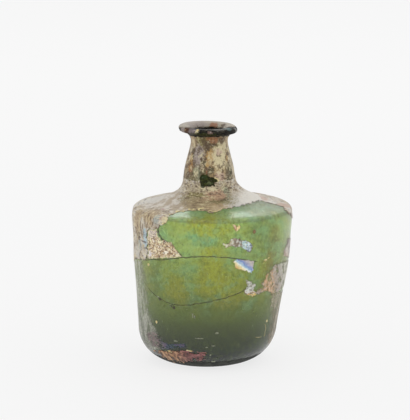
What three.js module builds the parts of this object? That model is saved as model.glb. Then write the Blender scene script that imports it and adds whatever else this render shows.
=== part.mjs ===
// A small free-blown bottle of green glass, of the early medieval Near East.
// It was blown and worked by hand on a pontil rod, so its foot stands a little to one side of
// its body, the neck is slightly off the middle of the shoulder and the lip isn't quite level.
// Millimetres, +Z up. The origin is on the table, straight below the middle of the widest ring.

import * as THREE from "three";

const degrees = THREE.MathUtils.degToRad;

// The foot: a flat resting ring around a pushed-up middle.
const FOOT_RADIUS = 15;
const FOOT_RING_WIDTH = 3.5;
const KICK_HEIGHT = 3;

// The outside from the foot up. Each height is counted from the top of the stretch below it.
const HEEL_RADIUS = 33.1;
const HEEL_HEIGHT = 18;
const BODY_RADIUS = 38.1;
const BODY_HEIGHT = 54;
const CORNER_HEIGHT = 5.3;
const SHOULDER_RADIUS = 25.8;
const SHOULDER_RISE = 10.8;
const SHOULDER_SLOPE = degrees(20);
const NECK_BASE_RADIUS = 12.6;
const NECK_HEIGHT = 17.6;
const NECK_TAPER = degrees(4.5);
const THROAT_RADIUS = 9;
const LIP_RISE = 7.3;

// The folded lip, a thick disc with a rounded edge, dished towards the mouth.
const LIP_RADIUS = 14.3;
const LIP_THICKNESS = 3.8;
const LIP_DISH = 0.7;
const MOUTH_RADIUS = 7.6;
const MOUTH_BEVEL = 1;

// Thickness of the glass, which is heaviest in the floor.
const FLOOR_WALL = 4.6;
const HEEL_WALL = 3.4;
const BODY_WALL = 1.9;
const NECK_WALL = 2.2;

// How far the hand-worked stretches stand out of line, along X. The foot's lean dies out at
// LEAN_HEIGHT above the table.
const FOOT_DRIFT = -2.6;
const LEAN_HEIGHT = 64;
const NECK_DRIFT = -1.4;
const LIP_DRIFT = -2.1;
const LIP_TILT = degrees(1.6);

// How full each bend is, as a share of its own stretch.
const HEEL_FLATNESS = 0.43;
const HEEL_FULLNESS = 0.29;
const BODY_SWELL = 0.28;
const BODY_FULLNESS = 0.38;
const CORNER_FULLNESS = 0.8;
const CORNER_REACH = 0.5;
const SHOULDER_REACH = 0.53;
const NECK_FLARE = 0.59;
const NECK_FULLNESS = 0.37;
const THROAT_FULLNESS = 0.24;
const LIP_FLARE = 0.45;
const KICK_FULLNESS = 0.8;

// Facets around the axis and around the lip's edge.
const SIDES = 60;
const LIP_FACETS = 6;

// Heights above the table.
const widestZ = HEEL_HEIGHT + BODY_HEIGHT;
const shoulderZ = widestZ + CORNER_HEIGHT;
const neckBaseZ = shoulderZ + SHOULDER_RISE;
const throatZ = neckBaseZ + NECK_HEIGHT;
const lipTopZ = throatZ + LIP_RISE;
const lipUnderZ = lipTopZ - LIP_THICKNESS;

// A point of the section: distance from the axis, and height.
const at = (radius, height) => new THREE.Vector2(radius, height);

// One bend of the outside. wall is the thickness of the glass at its upper end, and steps is
// how many straight pieces stand for it.
function bend(from, handleFrom, handleTo, to, wall, steps) {
  const curve = new THREE.CubicBezierCurve(from, handleFrom, handleTo, to);
  return { curve, wall, steps };
}

// The outside from the resting ring to the underside of the lip.
function outsideBends() {
  const foot = at(FOOT_RADIUS, 0);
  const heel = at(HEEL_RADIUS, HEEL_HEIGHT);
  const widest = at(BODY_RADIUS, widestZ);
  const shoulder = at(SHOULDER_RADIUS, shoulderZ);
  const neckBase = at(NECK_BASE_RADIUS, neckBaseZ);
  const throat = at(THROAT_RADIUS, throatZ);
  const lipEdgeRadius = LIP_RADIUS - LIP_THICKNESS / 2;
  const lipUnder = at(lipEdgeRadius, lipUnderZ);

  const heelTurn = HEEL_RADIUS - FOOT_RADIUS;
  const swell = BODY_RADIUS - HEEL_RADIUS;
  const cornerReach = CORNER_REACH * (BODY_RADIUS - SHOULDER_RADIUS);
  const shoulderReach = SHOULDER_REACH * (SHOULDER_RADIUS - NECK_BASE_RADIUS);
  const flare = NECK_FLARE * SHOULDER_RISE;
  const neckReach = NECK_FULLNESS * NECK_HEIGHT;
  const downSlope = at(Math.cos(SHOULDER_SLOPE), -Math.sin(SHOULDER_SLOPE));
  const upNeck = at(-Math.sin(NECK_TAPER), Math.cos(NECK_TAPER));

  return [
    bend(
      foot,
      at(FOOT_RADIUS + HEEL_FLATNESS * heelTurn, 0),
      at(HEEL_RADIUS, HEEL_FULLNESS * HEEL_HEIGHT),
      heel,
      HEEL_WALL,
      9,
    ),
    bend(
      heel,
      at(HEEL_RADIUS + BODY_SWELL * swell, HEEL_HEIGHT + BODY_SWELL * BODY_HEIGHT),
      at(BODY_RADIUS, widestZ - BODY_FULLNESS * BODY_HEIGHT),
      widest,
      BODY_WALL,
      6,
    ),
    bend(
      widest,
      at(BODY_RADIUS, widestZ + CORNER_FULLNESS * CORNER_HEIGHT),
      shoulder.clone().addScaledVector(downSlope, cornerReach),
      shoulder,
      BODY_WALL,
      7,
    ),
    bend(
      shoulder,
      shoulder.clone().addScaledVector(downSlope, -shoulderReach),
      neckBase.clone().addScaledVector(upNeck, -flare),
      neckBase,
      NECK_WALL,
      7,
    ),
    bend(
      neckBase,
      neckBase.clone().addScaledVector(upNeck, neckReach),
      at(THROAT_RADIUS, throatZ - THROAT_FULLNESS * NECK_HEIGHT),
      throat,
      NECK_WALL,
      4,
    ),
    bend(
      throat,
      at(THROAT_RADIUS, throatZ + LIP_FLARE * (lipUnderZ - throatZ)),
      at(THROAT_RADIUS + LIP_FLARE * (lipEdgeRadius - THROAT_RADIUS), lipUnderZ),
      lipUnder,
      NECK_WALL,
      4,
    ),
  ];
}

// The inside follows the outside at the thickness of the glass, from the floor to the throat.
function insideWall(bends) {
  const inside = [];
  let wall = FLOOR_WALL;
  for (const stretch of bends.slice(0, -1)) {
    const count = Math.ceil(stretch.steps * 0.75);
    for (let i = 0; i < count; i++) {
      const along = i / count;
      const point = stretch.curve.getPoint(along);
      const way = stretch.curve.getTangent(along);
      const inward = at(-way.y, way.x);
      inside.push(point.addScaledVector(inward, THREE.MathUtils.lerp(wall, stretch.wall, along)));
    }
    wall = stretch.wall;
  }
  inside.push(at(THROAT_RADIUS - NECK_WALL, throatZ));
  return inside;
}

// The lip's rounded edge, from its underside out and up to its top.
function lipEdge() {
  const edge = LIP_THICKNESS / 2;
  const points = [];
  for (let i = 1; i <= LIP_FACETS; i++) {
    const turn = Math.PI * (i / LIP_FACETS - 0.5);
    points.push(
      at(LIP_RADIUS - edge + edge * Math.cos(turn), lipTopZ - edge + edge * Math.sin(turn)),
    );
  }
  return points;
}

// The whole wall in section: kick, resting ring, outside, lip, mouth, inside, floor.
function section() {
  const bends = outsideBends();
  const ringInner = FOOT_RADIUS - FOOT_RING_WIDTH;
  const kickBend = at(ringInner / 2, KICK_FULLNESS * KICK_HEIGHT);
  const mouthZ = lipTopZ - LIP_DISH;
  return [
    at(0, KICK_HEIGHT),
    kickBend,
    at(ringInner, 0),
    at(FOOT_RADIUS, 0),
    ...bends.flatMap(({ curve, steps }) => curve.getPoints(steps).slice(1)),
    ...lipEdge(),
    at(MOUTH_RADIUS + MOUTH_BEVEL, mouthZ),
    at(MOUTH_RADIUS, mouthZ - MOUTH_BEVEL),
    ...insideWall(bends).reverse(),
    kickBend.clone().add(at(0, FLOOR_WALL)),
    at(0, KICK_HEIGHT + FLOOR_WALL),
  ];
}

// How far the middle of the glass lies from the axis at a height.
function driftAt(z) {
  const eased = THREE.MathUtils.smoothstep;
  const foot = FOOT_DRIFT * (1 - eased(z, 0, LEAN_HEIGHT));
  const neck = NECK_DRIFT * eased(z, shoulderZ, neckBaseZ);
  const lip = (LIP_DRIFT - NECK_DRIFT) * eased(z, throatZ, lipTopZ);
  return foot + neck + lip;
}

// Turned in section, then leaned and tilted as the hand-worked bottle is.
function bottleGeometry() {
  const geometry = new THREE.LatheGeometry(section(), SIDES);
  geometry.rotateX(Math.PI / 2);
  const place = geometry.getAttribute("position");
  for (let i = 0; i < place.count; i++) {
    const x = place.getX(i);
    const z = place.getZ(i);
    const tilt = LIP_TILT * THREE.MathUtils.smoothstep(z, throatZ, lipUnderZ);
    place.setX(i, x + driftAt(z));
    place.setZ(i, z - x * Math.tan(tilt));
  }
  geometry.computeVertexNormals();
  return geometry;
}

const greenGlass = new THREE.MeshStandardMaterial({
  name: "green glass",
  color: 0x6f8a3c,
  roughness: 0.25,
  metalness: 0,
  transparent: true,
  opacity: 0.75,
});

const bottle = new THREE.Mesh(bottleGeometry(), greenGlass);
bottle.name = "bottle";

const part = new THREE.Group();
part.name = "green glass bottle";
part.add(bottle);

export default part;
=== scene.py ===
# The looks of a small free-blown bottle of green glass that lay in the ground for centuries.
# Lengths are in metres, or in millimetres where a function says so, in the frame of the packed
# solid, with Z up and the front towards -Y.
import math

import bmesh
import bpy
import numpy as np
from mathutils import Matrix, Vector, noise


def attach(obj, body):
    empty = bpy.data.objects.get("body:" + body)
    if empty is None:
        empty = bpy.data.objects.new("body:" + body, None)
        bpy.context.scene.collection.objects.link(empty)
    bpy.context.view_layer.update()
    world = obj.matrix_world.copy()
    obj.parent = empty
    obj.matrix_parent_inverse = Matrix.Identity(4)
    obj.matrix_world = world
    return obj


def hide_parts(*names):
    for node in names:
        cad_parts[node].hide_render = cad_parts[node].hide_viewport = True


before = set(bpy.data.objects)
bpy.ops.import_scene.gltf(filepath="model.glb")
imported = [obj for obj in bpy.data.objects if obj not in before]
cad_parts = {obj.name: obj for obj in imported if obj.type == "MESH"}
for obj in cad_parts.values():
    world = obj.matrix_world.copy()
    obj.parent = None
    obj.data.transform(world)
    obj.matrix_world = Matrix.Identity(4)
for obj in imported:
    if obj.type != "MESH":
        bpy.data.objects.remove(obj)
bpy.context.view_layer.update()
MM = 0.001


# The view. The bottle is seen from a little above through a long lens. Places on it that are
# given as pixels of the photograph are found through this same camera.
PHOTO_WIDTH, PHOTO_HEIGHT = 410, 420
CAMERA_PLACE = Vector((-3.4 * MM, -1271.6 * MM, 326.3 * MM))
CAMERA_DOWN = math.radians(11.31)
FOCAL_PIXELS = 2740
SENSOR = 36
PHOTO_MIDDLE = ((PHOTO_WIDTH - 1) / 2, (PHOTO_HEIGHT - 1) / 2)


def put_in_scene(name, data):
    """A new object in the scene."""
    thing = bpy.data.objects.new(name, data)
    bpy.context.scene.collection.objects.link(thing)
    return thing


lens = bpy.data.cameras.new("view")
lens.sensor_width = SENSOR
lens.lens = FOCAL_PIXELS / PHOTO_HEIGHT * SENSOR
camera = put_in_scene("view", lens)
camera.location = CAMERA_PLACE
camera.rotation_euler = (math.pi / 2 - CAMERA_DOWN, 0, 0)
bpy.context.scene.camera = camera
VIEW_RIGHT = np.array((1, 0, 0))
VIEW_AHEAD = np.array((0, math.cos(CAMERA_DOWN), -math.sin(CAMERA_DOWN)))
VIEW_UP = np.cross(VIEW_RIGHT, VIEW_AHEAD)


def in_photo(points):
    """Where points of the bottle lie in the photograph, as pixels."""
    away = points - np.array(CAMERA_PLACE)
    scale = FOCAL_PIXELS / (away @ VIEW_AHEAD)
    across = PHOTO_MIDDLE[0] + scale * (away @ VIEW_RIGHT)
    down = PHOTO_MIDDLE[1] - scale * (away @ VIEW_UP)
    return np.stack([across, down], axis=-1)


def seen(red, green, blue):
    """A colour as it shows in the photograph, 0 to 255, as the light it stands for."""
    parts = [c / 255 for c in (red, green, blue)]
    return tuple(c / 12.92 if c < 0.04 else ((c + 0.055) / 1.055) ** 2.4 for c in parts)


# The glass. One bubble of green glass, blown, pushed up underneath with the pontil rod, and
# folded out at the lip. Its wall is smooth but never quite even, and heaviest in the floor.
SIDES = 240
FINER = 3
SHARP_TURN = math.radians(40)
EDGES_AT_POLE = 20
LIP_ROWS = 12
WAVER = 0.28 * MM
WAVER_SIZE = 15
WAVER_BEGINS = (0.5 * MM, 6 * MM)
CRUST_SEAT = 0.45 * MM
SEAT_BEGINS = (44 * MM, 60 * MM)
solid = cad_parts["bottle"]


def section_side(side):
    """The solid's section on one side of its middle plane, from the kick round the lip and
    down the inside to the floor, as distances along X and heights."""
    rings = bmesh.new()
    rings.from_mesh(solid.data)
    bmesh.ops.remove_doubles(rings, verts=rings.verts, dist=1e-6)
    poles = [v for v in rings.verts if len(v.link_edges) > EDGES_AT_POLE]
    kick, floor = sorted(poles, key=lambda v: v.co.z)
    path = [kick]
    while path[-1] is not floor:
        here = path[-1]
        beside = [edge.other_vert(here) for edge in here.link_edges]
        ahead = [v for v in beside if abs(v.co.y) < 1e-7 and v not in path[-2:]]
        path.append(max(ahead, key=lambda v: side * v.co.x))
    places = np.array([(v.co.x, v.co.z) for v in path])
    rings.free()
    return places


def smoothed(points):
    """The same line with FINER steps for each one, round where it turns gently and sharp where
    it has a corner."""
    step = np.diff(points, axis=0)
    length = np.linalg.norm(step, axis=1)[:, None]
    way = step / length
    before, after = np.vstack([way[:1], way]), np.vstack([way, way[-1:]])
    short_before, short_after = np.vstack([length[:1], length]), np.vstack([length, length[-1:]])
    flow = before / short_before + after / short_after
    flow /= np.linalg.norm(flow, axis=1)[:, None]
    corner = ((before * after).sum(1) < math.cos(SHARP_TURN))[:, None]
    leave, arrive = np.where(corner, after, flow)[:-1], np.where(corner, before, flow)[1:]
    pieces = []
    for i in range(FINER):
        t = i / FINER
        pieces.append(
            (2 * t**3 - 3 * t**2 + 1) * points[:-1]
            + (t**3 - 2 * t**2 + t) * length * leave
            + (3 * t**2 - 2 * t**3) * points[1:]
            + (t**3 - t**2) * length * arrive
        )
    line = np.stack(pieces, axis=1).reshape(-1, 2)
    return np.vstack([line, points[-1:]])


right_side, left_side = smoothed(section_side(1)), smoothed(section_side(-1))
axis_x, height = ((right_side + left_side) / 2).T
radius, tip = ((right_side - left_side) / 2).T
height = np.maximum(height, 0)
ring = int(np.nonzero(height < 1e-6)[0][-1])
brim = int(np.argmax(height))
throat = brim + int(np.argmin(radius[brim : brim + LIP_ROWS * FINER]))
run = np.concatenate([[0], np.cumsum(np.hypot(np.diff(radius), np.diff(height)))])


def on_section(angle, index):
    """Points of the plain wall at angles round it, from the front to the right, and places
    along its section."""
    steps = np.arange(len(radius))
    middle, r, z, lift = (np.interp(index, steps, a) for a in (axis_x, radius, height, tip))
    x, y = middle + r * np.sin(angle), -r * np.cos(angle)
    return np.stack([x, y, z + lift * np.sin(angle)], -1)


def eased(value, low, high):
    """0 up to low, 1 from high and smooth between them."""
    t = np.clip((value - low) / (high - low), 0, 1)
    return t * t * (3 - 2 * t)


def rough(points, size, seed=0, octaves=1):
    """Noise of a grain size in millimetres over points, about -1 to 1."""
    shift = Vector((seed * 17.3, seed * 5.1, seed * 11.7))
    flat = points.reshape(-1, 3) / (size * MM)
    if octaves == 1:
        found = [noise.noise(Vector(p) + shift) for p in flat]
    else:
        found = [noise.fractal(Vector(p) + shift, 0.9, 2.1, octaves) for p in flat]
    return np.array(found).reshape(points.shape[:-1])


def outside(angle, index):
    """Points and ways out of the real outside: slightly uneven, and eaten a little thinner by
    the weathering above the middle of the body."""
    here = on_section(angle, index)
    around = on_section(angle + 0.01, index) - on_section(angle - 0.01, index)
    upward = on_section(angle, index + 0.3) - on_section(angle, index - 0.3)
    out = np.cross(around, upward)
    out /= np.maximum(np.linalg.norm(out, axis=-1), 1e-12)[..., None]
    dip = WAVER * (0.5 + 0.5 * rough(here, WAVER_SIZE)) * eased(here[..., 2], *WAVER_BEGINS)
    dip += CRUST_SEAT * eased(here[..., 2], *SEAT_BEGINS)
    return here - out * dip[..., None], out


def new_piece(name, places, faces, material=None):
    """A smooth-shaded mesh object that belongs to the bottle."""
    mesh = bpy.data.meshes.new(name)
    mesh.from_pydata([tuple(p) for p in places], [], faces)
    mesh.update()
    mesh.shade_smooth()
    if material:
        mesh.materials.append(material)
    piece = put_in_scene(name, mesh)
    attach(piece, "root")
    return piece


class Wire:
    """A node's output as a value. A sum on it adds Math nodes, and node() adds any other node."""

    def __init__(self, finish, socket=None):
        self.finish = finish
        self.tree = finish.node_tree
        self.socket = socket

    def node(self, kind, settings=None, sockets=None, output=0):
        new = self.tree.nodes.new("ShaderNode" + kind)
        for name, value in (settings or {}).items():
            if name == "stops":
                for stop, (at, colour) in zip(ramp_stops(new, len(value)), value):
                    stop.position, stop.color = at, (*colour, 1)
            else:
                setattr(new, name, value)
        for name, value in (sockets or {}).items():
            if isinstance(value, Wire):
                self.tree.links.new(value.socket, new.inputs[name])
            else:
                new.inputs[name].default_value = value
        return Wire(self.finish, new.outputs[output])

    def beside(self, output):
        """Another output of the same node."""
        return Wire(self.finish, self.socket.node.outputs[output])

    def math(self, operation, first, second=0.0):
        return self.node("Math", {"operation": operation}, {0: first, 1: second})

    def __add__(self, other):
        return self.math("ADD", self, other)

    def __sub__(self, other):
        return self.math("SUBTRACT", self, other)

    def __rsub__(self, other):
        return self.math("SUBTRACT", other, self)

    def __mul__(self, other):
        return self.math("MULTIPLY", self, other)

    __radd__, __rmul__ = __add__, __mul__

    def vector(self, operation, *others, output=0):
        """Vector Math on this vector and others."""
        sockets = dict(enumerate((self, *others)))
        return self.node("VectorMath", {"operation": operation}, sockets, output)

    def rise(self, low, high):
        """0 at low, 1 at high and smooth between them. low may be the larger of the two."""
        limits = {"From Min": low, "From Max": high}
        return self.node("MapRange", {"interpolation_type": "SMOOTHSTEP"}, {"Value": self, **limits})

    def blend(self, first, second):
        """first where this value is 0 and second where it is 1, as colours of light."""
        first, second = (c if isinstance(c, Wire) else (*c, 1) for c in (first, second))
        return self.node("Mix", {"data_type": "RGBA"}, {0: self, 6: first, 7: second}, 2)

    def mix(self, first, second):
        """The same with colours as they show in the photograph."""
        return self.blend(*(c if isinstance(c, Wire) else seen(*c) for c in (first, second)))

    def ramp(self, *stops):
        """Colours as they show in the photograph, each at the value that it stands for."""
        light = [(at, seen(*colour)) for at, colour in stops]
        return self.node("ValToRGB", {"stops": light}, {0: self})

    def high(self):
        """The height of a place."""
        return self.node("SeparateXYZ", {}, {0: self}, 2)

    def edge(self):
        """How far a point lies inside the edge of its layer, in millimetres and up to 1."""
        return self.node("Attribute", {"attribute_name": "edge"}, {}, 2)

    def cloud(self, detail=2, seed=0):
        """Noise over a vector, with grains about 1 across."""
        sockets = {"Vector": self, "W": seed, "Scale": 1.0, "Detail": detail, "Roughness": 0.6}
        return self.node("TexNoise", {"noise_dimensions": "4D"}, sockets)

    def grain(self, size, detail=2, seed=0, stretch=(1, 1, 1)):
        """Noise over a place with grains of a size in millimetres, drawn out by stretch."""
        finer = tuple(1 / (size * MM * s) for s in stretch)
        return self.vector("MULTIPLY", finer).cloud(detail, seed)

    def bump(self, strength, distance):
        """A bump of this height, with a distance in millimetres."""
        sockets = {"Strength": strength, "Distance": distance * MM, "Height": self}
        return self.node("Bump", {}, sockets)

    def look(self, tone, roughness, others=None, volume=None):
        """The material, showing a Principled shader with these sockets, and volume if given."""
        sockets = {"Base Color": tone, "Roughness": roughness, **(others or {})}
        surface = self.node("BsdfPrincipled", {}, sockets)
        end = self.tree.nodes.new("ShaderNodeOutputMaterial")
        self.tree.links.new(surface.socket, end.inputs["Surface"])
        if volume:
            self.tree.links.new(volume.socket, end.inputs["Volume"])
        return self.finish


def ramp_stops(new, count):
    """The stops of a new ramp, made up to a count."""
    stops = new.color_ramp.elements
    while len(stops) < count:
        stops.new(0.5)
    return stops


def new_finish(name):
    """The wire that gives a point's place on the bottle, in an empty material."""
    finish = bpy.data.materials.new(name)
    finish.use_nodes = True
    finish.node_tree.nodes.clear()
    return Wire(finish).node("TexCoord", output=3)


def spot(across, down):
    """The place on the glass that shows at a pixel of the photograph, and its way out."""
    ahead = Vector(VIEW_AHEAD) * FOCAL_PIXELS
    ahead += Vector(VIEW_RIGHT) * (across - PHOTO_MIDDLE[0])
    ahead -= Vector(VIEW_UP) * (down - PHOTO_MIDDLE[1])
    hit, place, out, _ = bottle_glass.ray_cast(CAMERA_PLACE, ahead.normalized())
    if not hit:
        raise ValueError(f"no glass shows at pixel {across}, {down}")
    return place, out


def ragged_patches(place, size=1.1, stray=1.3, soft=0.2):
    """A maker of ragged masks, in millimetres. Each lies at a pixel of the photograph and is so
    wide and tall, and its edge strays in steps of a size."""
    stray *= MM
    wander = place.grain(size, 4, 4).beside(1)
    astray = wander.vector("MULTIPLY_ADD", (2 * stray,) * 3, (-stray,) * 3).vector("ADD", place)
    torn = (place.grain(0.6 * size, 4, 14) - 0.5) * 2.4

    def patch(across, down, wide, tall):
        centre, _ = spot(across, down)
        share = Vector((2 / wide, 2 / wide, 2 / tall)) / MM
        off = astray.vector("MULTIPLY_ADD", tuple(share), tuple(-share * centre))
        return (off.vector("LENGTH", output=1) + torn).rise(1 + soft, 1 - soft)

    return patch


def stained(tone, patch, stains, strength=1.0):
    """tone under stains. Each has a colour, the pixel that it lies at, and its width and height
    in millimetres."""
    for colour, *mark in stains:
        tone = (patch(*mark) * strength).mix(tone, colour)
    return tone


TOP = 114 * MM
BODY_CLEARS = (22 * MM, 40 * MM)
# Painted shade in the glass's tone by height: near black at the resting ring and very dark a few
# millimetres up, where the bottle meets the floor, and darker from 76.5 to 81 mm, which dulls the
# shoulder's reflection of the room.
GLASS_AND_SHADE_BY_HEIGHT = [
    (0, (0.01, 0.012, 0.012)), (3, (0.045, 0.055, 0.055)), (9, (0.07, 0.088, 0.082)),
    (22, (0.235, 0.29, 0.115)), (29, (0.37, 0.45, 0.125)), (46, (0.59, 0.64, 0.155)),
    (64, (0.74, 0.9, 0.38)), (74, (0.7, 0.86, 0.36)), (76.5, (0.38, 0.52, 0.23)),
    (81, (0.3, 0.42, 0.18)), (87, (0.12, 0.11, 0.01)), (103, (0.3, 0.3, 0.08)),
    (106, (0.02, 0.022, 0.015)),
]
TEAL = (0.52, 0.82, 0.56)
MOSS = (0.74, 0.66, 0.1)
AMBER = (0.55, 0.38, 0.12)
LEAF = (0.8, 1.0, 0.48)
SMOKE = (0.52, 0.5, 0.34)
SHADE = (0.36, 0.44, 0.16)
LEMON = (0.84, 0.8, 0.1)
AQUA = (0.4, 0.8, 0.66)
STREAK = (0.3, 0.38, 0.11)
VEIN = (0.22, 0.26, 0.06)
PALE = (0.8, 0.88, 0.5)
SPECK = (0.16, 0.18, 0.05)
DEPTH = (0.7, 0.84, 0.3)
DENSITY = 220
GLASS_CLOUDS = [
    (TEAL, 166, 233, 11, 9), (TEAL, 205, 243, 13, 6), (TEAL, 188, 270, 9, 8),
    (LEAF, 180, 240, 17, 16), (LEAF, 196, 252, 12, 6), (TEAL, 249, 254, 14, 8),
    (TEAL, 262, 228, 8, 8), (MOSS, 206, 226, 17, 7), (MOSS, 214, 280, 13, 22),
    (MOSS, 176, 290, 12, 10), (AMBER, 209, 227, 4, 3), (AMBER, 275, 232, 5, 11),
    (AMBER, 273, 245, 7, 12), (SHADE, 154, 270, 8, 18), (AMBER, 205, 268, 3, 12),
    (MOSS, 235, 300, 18, 8), (LEMON, 207, 226, 20, 9), (LEMON, 212, 262, 9, 22),
    (LEMON, 222, 285, 22, 9), (AQUA, 195, 236.5, 9, 2), (AQUA, 204, 239.5, 9, 2.2),
    (AQUA, 209, 242, 7, 3), (TEAL, 187, 213, 17, 6), (TEAL, 243, 211, 20, 8),
    (SHADE, 268, 236, 12, 22), (SHADE, 262, 206, 26, 12), (SHADE, 255, 232, 9, 9),
    (SHADE, 160, 250, 6, 12), (AMBER, 270, 262, 9, 10), (SHADE, 154, 300, 7, 30),
    (SMOKE, 143, 285, 7, 22), (SMOKE, 273, 308, 7, 22), (TEAL, 246, 306, 8, 5),
]


def green_glass():
    place = new_finish("green glass")
    high = place.high()
    patches = place.grain(7, 4, 2, (1, 1, 0.8))
    veins = place.grain(1.3, 5, 12, (1, 1, 1.5))
    brushed = place.grain(2.4, 5, 5, (0.7, 0.7, 1.7))
    speck = place.grain(0.8, 3, 9)
    stops = [(z * MM / TOP, colour) for z, colour in GLASS_AND_SHADE_BY_HEIGHT]
    tone = place.node("ValToRGB", {"stops": stops}, {0: high * (1 / TOP)})
    body = high.rise(*BODY_CLEARS)
    clouded = body * 0.7
    patch = ragged_patches(place, size=3, stray=5, soft=0.5)
    for colour, *mark in GLASS_CLOUDS:
        tone = (patch(*mark) * clouded).blend(tone, colour)
    tone = (patches.rise(0.51, 0.6) * body * 0.55).blend(tone, TEAL)
    tone = (patches.rise(0.48, 0.4) * body * 0.35).blend(tone, MOSS)
    tone = (brushed.rise(0.49, 0.6) * 0.35).blend(tone, STREAK)
    tone = (veins.rise(0.53, 0.61) * 0.42).blend(tone, VEIN)
    tone = (veins.rise(0.47, 0.39) * body * 0.5).blend(tone, PALE)
    tone = (speck.rise(0.58, 0.7) * 0.2).blend(tone, SPECK)
    bumps = brushed * 0.4 + veins * 0.35 + speck * 0.25
    clear = {"IOR": 1.5, "Transmission Weight": 0.8, "Normal": bumps.bump(0.25, 0.3)}
    clear |= {"Sheen Weight": 0.12, "Sheen Roughness": 0.4}
    wall = place.node("VolumeAbsorption", {}, {"Color": (*DEPTH, 1), "Density": DENSITY})
    return place.look(tone, 0.15 + 0.18 * brushed, clear, wall)


def tube(sides, rows):
    """The faces of a grid of places that closes round the axis."""
    faces = []
    for i in range(sides):
        near, far = i * rows, (i + 1) % sides * rows
        faces += [(near + k, far + k, far + k + 1, near + k + 1) for k in range(rows - 1)]
    return faces


def glass_mesh():
    angle = np.linspace(-math.pi, math.pi, SIDES, endpoint=False)
    index = np.arange(1, len(radius) - 1)
    grid = [a.T for a in np.meshgrid(angle, index)]
    outer = (grid[1] > ring) & (grid[1] < throat)
    plain = on_section(*grid)
    uneven, _ = outside(*grid)
    places = np.where(outer[..., None], uneven, plain).reshape(-1, 3)
    rings = len(index)
    faces = tube(SIDES, rings)
    kick, floor = len(places), len(places) + 1
    ends = np.array([(axis_x[k], 0, height[k]) for k in (0, -1)])
    for i in range(SIDES):
        near, far = i * rings, (i + 1) % SIDES * rings
        faces += [(kick, far, near), (floor, near + rings - 1, far + rings - 1)]
    return np.vstack([places, ends]), faces


bottle_glass = new_piece("bottle_glass", *glass_mesh())
bottle_glass.data.set_sharp_from_angle(angle=SHARP_TURN)
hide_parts("bottle")
bpy.context.view_layer.update()
bottle_glass.data.materials.append(green_glass())


# The weathering crust. Centuries of damp turned the outer glass into a thin, matt, beige-grey
# skin. It still covers the neck, the shoulder and part of the left side, and has flaked off
# elsewhere, which leaves a ragged edge that stands a little over the bare green glass.
CRUST = 0.24 * MM
CRUST_BEVEL = 0.35 * MM
CLEAR = 0.03 * MM
SUNK = 0.05 * MM
PIXELS_PER_MM = 2.1
PATCH_EDGE = [
    (157.4, 235), (160.7, 240), (164, 239), (167, 241.5), (171.3, 242), (175.2, 248.7), (180.7, 256),
]
BARE_WINDOW = [
    *PATCH_EDGE[::-1], (157, 229.5), (158.4, 227), (163.5, 223), (167, 220.4), (168.4, 216.8),
    (175, 212.3), (183.5, 211), (192, 210.6), (200, 209.8), (207, 210.6), (212, 213.4), (217, 211.6),
    (222, 209.5), (232, 207), (245, 204.5), (255, 201), (262, 199), (270, 198.6), (276, 201),
    (283, 207.5), (289, 214.5), (300, 222), (300, 400), (120, 400), (120, 258.5), (146, 258.5),
    (168, 257.8),
]
GLITTER_PATCH = [
    (147.4, 231), (149.4, 228.6), (153, 229.4), (156, 228.6), *PATCH_EDGE, (172, 257.3), (150, 258),
    (146.4, 256.6), (148.2, 251), (146.8, 247), (148, 243), (146.6, 237),
]
HOLE_IN_NECK = [
    (199.6, 177), (202, 174.5), (205, 174), (207, 175.5), (210, 177), (215, 178.5), (217, 180.5),
    (213, 182), (214, 185), (210, 185.6), (206, 185), (203, 187.4), (200.4, 186), (200, 182),
]
DARK_EDGE_OF_LIP = [
    (178.5, 127.6), (188, 127.3), (200, 127.2), (213, 127.8), (222, 126.8), (233, 126.6), (242, 128),
    (238, 133), (226, 135.4), (210, 136.2), (195, 136), (189, 134.4), (182, 132.4),
]
HEM_ANGLES = np.radians((-180, -140, -112, -90, 90, 112, 140, 180))
HEM_HEIGHTS = np.array((69, 66, 58, 48.5, 68, 67, 64, 69)) * MM
FRONT_ENDS = np.radians((76, 94))
LIP_ASIDE = 2 * MM
LIP_SHOWS_FROM = 12.9 * MM
LIP_BEGINS = 105.5 * MM
MOUTH_DARKENS = 110.2 * MM
FAR_INSIDE = 9 * MM


def within(outline, pixels):
    """How far pixels lie inside an outline drawn on the photograph, in metres on the bottle.
    Outside it is negative."""
    near = np.full(pixels.shape[:-1], np.inf)
    inside = np.zeros(pixels.shape[:-1], bool)
    x, y = pixels[..., 0], pixels[..., 1]
    for (ax, ay), (bx, by) in zip(outline, outline[1:] + outline[:1]):
        along = ((x - ax) * (bx - ax) + (y - ay) * (by - ay)) / ((bx - ax) ** 2 + (by - ay) ** 2)
        along = np.clip(along, 0, 1)
        near = np.minimum(near, np.hypot(x - ax - along * (bx - ax), y - ay - along * (by - ay)))
        if ay != by:
            crossed = (ay > y) != (by > y)
            inside ^= crossed & (x < ax + (y - ay) * (bx - ax) / (by - ay))
    return np.where(inside, near, -near) / PIXELS_PER_MM * MM


def ground(spacing, low, high=None, reach=math.pi, widest=38):
    """A grid on the outside between two heights in millimetres, or up to the mouth, round the
    bottle or as far as reach to each side of the front. widest is the bottle's radius there."""
    whole = reach >= math.pi
    angle = np.linspace(-reach, reach, int(2 * reach * widest / spacing), endpoint=not whole)
    rising = np.maximum.accumulate(height[ring:brim])
    start = np.interp(low * MM, rising, run[ring:brim])
    stop = np.interp(high * MM, rising, run[ring:brim]) if high else run[throat - 1]
    length = np.linspace(start, stop, int((stop - start) / (spacing * MM)))
    index = np.interp(length, run[ring:throat], np.arange(ring, throat))
    grid = [a.T for a in np.meshgrid(angle, index)]
    places, out = outside(*grid)
    spots = {"angle": grid[0], "index": grid[1], "places": places, "out": out}
    return {**spots, "pixels": in_photo(places), "whole": whole}


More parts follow.
